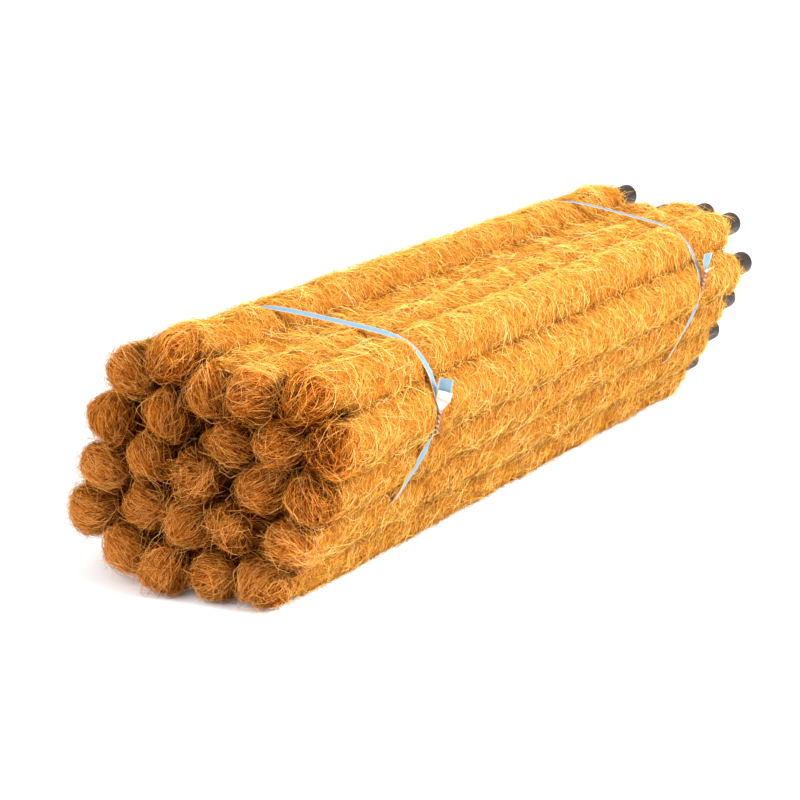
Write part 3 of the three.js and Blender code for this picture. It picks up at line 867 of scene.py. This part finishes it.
def tie_ribbon(tie, seed):
    """Stations of one tie from the tip of its long tail, round the stack, to that of its short tail."""
    draw = np.random.default_rng(seed)
    right_side = np.flatnonzero(tie_facings[:, 0] < 0)
    start = right_side[np.abs(tie_way[right_side, 1] - tie.knot_height).argmin()]
    knot, out = tie_way[start], tie_facings[start]
    rise = np.array([0.0, 1.0])

    def near_knot(side, outward, upward):
        """A spot by the knot: metres along the poles, out of the stack and up."""
        y, z = knot + outward * out + upward * rise
        return np.array([tie_place(tie, y, z) + side, y, z])

    def across(turn):
        """The way the ribbon's width runs when it is turned by an angle round the stalk."""
        return np.array([math.cos(turn), *(math.sin(turn) * out)])

    def strand(side, tail, lean):
        """The twisted part and the tail of one end, from the knot to the tip."""
        made = []
        for distance in np.linspace(0, NECK_LENGTH + tail, TAIL_STATIONS):
            twisted = min(1, distance / NECK_LENGTH)
            beyond = max(0, distance - NECK_LENGTH) / tail
            turn = math.radians(tie.twist) * twisted
            apart = side * (STRAND_APART + 0.0016 * beyond ** 2)
            sideways = lean * beyond ** 1.3 - math.sin(turn) * apart
            outward = NECK_OUT + 0.10 * distance + 0.0022 * beyond ** 2 + math.cos(turn) * apart
            width = NECK_WIDTH + (TAIL_WIDTH - NECK_WIDTH) * smooth(0.0, 0.62, beyond)
            made.append((near_knot(sideways, outward, 0.002 + 0.97 * distance), across(turn), width))
        return made

    def bend(*turns):
        """The narrow ribbon through places by the knot, each given as metres out of the stack and up."""
        return [(near_knot(0, outward, upward), across(0), NECK_WIDTH) for outward, upward in turns]

    lead = round(KNOT_LEAD / TIE_STEP)
    flats = np.roll(tie_way, -start, axis=0)[lead:1 - lead]
    facings = np.roll(tie_facings, -start, axis=0)[lead:1 - lead]
    loop = []
    run = run_along(flats)
    for (y, z), (face_y, face_z), distance in zip(flats, facings, run):
        roll = math.radians(tie.top_roll) * smooth(0.72, 0.97, face_z)
        if face_y < 0 and z < knot[1]:
            below = knot[1] - z
            roll = SIDE_ROLL * smooth(0.0, 0.012, below) * (1 - 1.3 * smooth(0.012, 0.050, below))
            sunk = TIE_SINK * (1 - smooth(*tie.lost, z)) * smooth(0, 0.4, -face_y)
            y, z = y - face_y * sunk, z - face_z * sunk
        wide = np.array([math.cos(roll), math.sin(roll) * face_y, math.sin(roll) * face_z])
        narrowed = smooth(0, GATHER, min(distance, run[-1] - distance))
        width = NECK_WIDTH + (tie.width - NECK_WIDTH) * narrowed
        loop.append((np.array([tie_place(tie, y, z), y, z]), wide, width))
    whole = strand(-1, tie.long_tail, tie.long_lean)[::-1]
    whole += bend((0.0008, -0.0004), (0.0002, -0.0030)) + loop
    whole += bend((0.0004, 0.0032), (0.0008, 0.0014), (0.0016, 0.0003), (0.0026, 0.0001), (0.0032, 0.0008))
    whole += strand(1, tie.short_tail, tie.short_lean)
    spots, wide, widths = (np.array(column) for column in zip(*whole))
    ahead = unit(np.gradient(spots, axis=0))
    wide = unit(wide - ahead * (wide * ahead).sum(1, keepdims=True))
    face = np.cross(ahead, wide)
    length = run_along(spots)
    crinkle = np.zeros((len(spots), RIBBON_ROWS))
    rows = np.linspace(-0.5, 0.5, RIBBON_ROWS)
    for _ in range(FOLDS):
        pitch, skew, begun = draw.uniform(250, 1400), draw.uniform(-4, 4), draw.uniform(0, 2 * math.pi)
        folds = np.sin(pitch * length[:, None] + skew * rows + begun)
        crinkle += draw.uniform(0.00003, 0.00009) * folds
    crinkle += WIRE_RIDGE * np.exp(-(rows / 0.12) ** 2)
    return spots, wide, face, widths, rows, crinkle, length


# Polythene film, light blue, glossy and a little crinkled. The blue stops short of both edges, which
# stay pale.
film, film_shader = new_material("blue_polythene_film")
film_map = add_node(film, "UVMap", uv_map="along_ribbon").outputs[0]
film_row = add_node(film, "SeparateXYZ", {0: film_map}).outputs[1]
film_off = add_node(film, "Math", {0: film_row, 1: 0.5}, operation="SUBTRACT").outputs[0]
film_side = add_node(film, "Math", {0: film_off}, operation="ABSOLUTE").outputs[0]
film_edge = add_node(film, "MapRange", {
    "Value": film_side, "From Min": 0.36, "From Max": 0.44}).outputs[0]
film_spot = add_node(film, "TexCoord").outputs["Object"]
film_worn = add_node(film, "TexNoise", {
    "Vector": film_spot, "Scale": 1 / 0.006, "Detail": 4, "Roughness": 0.6}).outputs["Fac"]
film_blue = add_node(film, "Mix", {
    0: film_worn, 6: linear("#3A778F"), 7: linear("#7C898F")}, data_type="RGBA").outputs[2]
film_colour = add_node(film, "Mix", {
    0: film_edge, 6: film_blue, 7: linear("#93999B")}, data_type="RGBA").outputs[2]
film_dull = add_node(film, "MapRange", {
    "Value": film_worn, "From Min": 0.3, "From Max": 0.7, "To Min": 0.28, "To Max": 0.5}).outputs[0]
film_folds = add_node(film, "Bump", {
    "Height": film_worn, "Strength": 0.3, "Distance": 0.0006}).outputs[0]
plug(film, film_shader, {
    "Base Color": film_colour, "Roughness": film_dull, "IOR": 1.51, "Normal": film_folds})

# The back of the film is left white. Coir dust has greyed it, and it is darker brown where it is gathered
# into the twist.
back, back_shader = new_material("white_film_back")
back_spot = add_node(back, "TexCoord").outputs["Object"]
back_dust = add_node(back, "TexNoise", {
    "Vector": back_spot, "Scale": 1 / 0.005, "Detail": 4, "Roughness": 0.65}).outputs["Fac"]
back_share = add_node(back, "MapRange", {
    "Value": back_dust, "From Min": 0.5, "From Max": 0.8, "To Min": 0.0, "To Max": 0.5}).outputs[0]
back_colour = add_node(back, "Mix", {
    0: back_share, 6: linear("#C9C6C2"), 7: linear("#A08A72")}, data_type="RGBA").outputs[2]
back_neck = add_node(back, "Attribute", attribute_name="gathered").outputs["Fac"]
back_final = add_node(back, "Mix", {
    0: back_neck, 6: back_colour, 7: linear("#8C6450")}, data_type="RGBA").outputs[2]
plug(back, back_shader, {"Base Color": back_final, "Roughness": 0.45, "IOR": 1.51})

for seed, tie in ((7101, FRONT_TIE), (7102, REAR_TIE)):
    spots, wide, face, widths, rows, crinkle, length = tie_ribbon(tie, seed)
    bpy.ops.object.select_all(action="DESELECT")
    bpy.ops.mesh.primitive_grid_add(
        x_subdivisions=len(spots) - 1, y_subdivisions=RIBBON_ROWS - 1, size=1, location=(0, 0, 0))
    ribbon = bpy.context.active_object
    ribbon.name = f"{tie.name}_ribbon"
    ribbon.data.name = ribbon.name
    flat = places_of(ribbon.data)
    station = np.round((flat[:, 0] + 0.5) * (len(spots) - 1)).astype(int)
    row = np.round((flat[:, 1] + 0.5) * (RIBBON_ROWS - 1)).astype(int)
    laid = spots[station] + wide[station] * (widths[station] * rows[row])[:, None]
    laid += face[station] * crinkle[station, row][:, None]
    ribbon.data.vertices.foreach_set("co", laid.ravel())
    ribbon.data.uv_layers[0].name = "along_ribbon"
    along_ribbon = np.stack([length[station], rows[row] + 0.5], axis=-1)[corners_of(ribbon.data)]
    ribbon.data.uv_layers[0].data.foreach_set("uv", along_ribbon.ravel())
    gathered = ribbon.data.attributes.new("gathered", "FLOAT", "POINT")
    gathered.data.foreach_set("value", 1 - smooth(NECK_WIDTH, 1.15 * NECK_WIDTH, widths[station]))
    ribbon.data.update()
    ribbon.data.materials.append(film)
    ribbon.data.materials.append(back)
    wall = ribbon.modifiers.new("film_thickness", "SOLIDIFY")
    wall.thickness = RIBBON_THICK
    wall.offset = -1
    wall.material_offset = 1
    wall.material_offset_rim = 1
    bpy.ops.object.modifier_apply(modifier=wall.name)
    bpy.ops.object.shade_smooth_by_angle(angle=math.radians(45))
    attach(ribbon, "tied_stack")
    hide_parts(tie.name)


# Floor and light: a white paper floor without an edge, a soft lamp high on the right, two very broad
# ones, weak overhead and stronger before the heads, and the white of the room all round.
KEY_SIZE = 0.7
BROAD = math.radians(60)

bpy.ops.object.select_all(action="DESELECT")
bpy.ops.mesh.primitive_plane_add(size=40, location=(0, 0, 0))
floor = bpy.context.active_object
floor.name = "floor"
paper, paper_shader = new_material("white_paper_floor")
plug(paper, paper_shader, {
    "Base Color": linear("#EDECED"), "Roughness": 0.9, "Specular IOR Level": 0.1,
    "Emission Color": linear("#FFFFFF"), "Emission Strength": 0.03})
floor.data.materials.append(paper)
floor.visible_diffuse = False  # it throws no light back up under the stack

for name, kind, comes_from, energy in (
        ("key_lamp", "AREA", (-0.22, -1.40, 0.85), 63),
        ("overhead_lamp", "SUN", (0.25, -0.05, 1.0), 0.15),
        ("front_lamp", "SUN", (-0.80, 0.16, 0.58), 2.7)):
    bpy.ops.object.light_add(type=kind, location=comes_from)
    lamp = bpy.context.active_object
    lamp.name = name
    lamp.data.energy = energy
    if kind == "AREA":
        lamp.data.size = KEY_SIZE
    else:
        lamp.data.angle = BROAD
    lamp.rotation_mode = "QUATERNION"
    lamp.rotation_quaternion = Vector(comes_from).to_track_quat("Z", "Y")
room = bpy.data.worlds.new("white_room")
room.use_nodes = True
room.node_tree.nodes.clear()
room_way = add_node(room, "TexCoord").outputs["Generated"]
room_side = add_node(room, "VectorMath", {
    0: room_way, 1: (0.82, -0.50, 0.28)}, operation="DOT_PRODUCT").outputs["Value"]
room_light = add_node(room, "MapRange", {
    "Value": room_side, "From Min": -0.6, "From Max": 0.4, "To Min": 0.85, "To Max": 1.0}).outputs[0]
room_white = add_node(room, "Background", {
    "Color": (1, 1, 1, 1), "Strength": room_light}).outputs[0]
add_node(room, "OutputWorld", {"Surface": room_white})
bpy.context.scene.world = room
bpy.context.scene.view_settings.view_transform = "Standard"
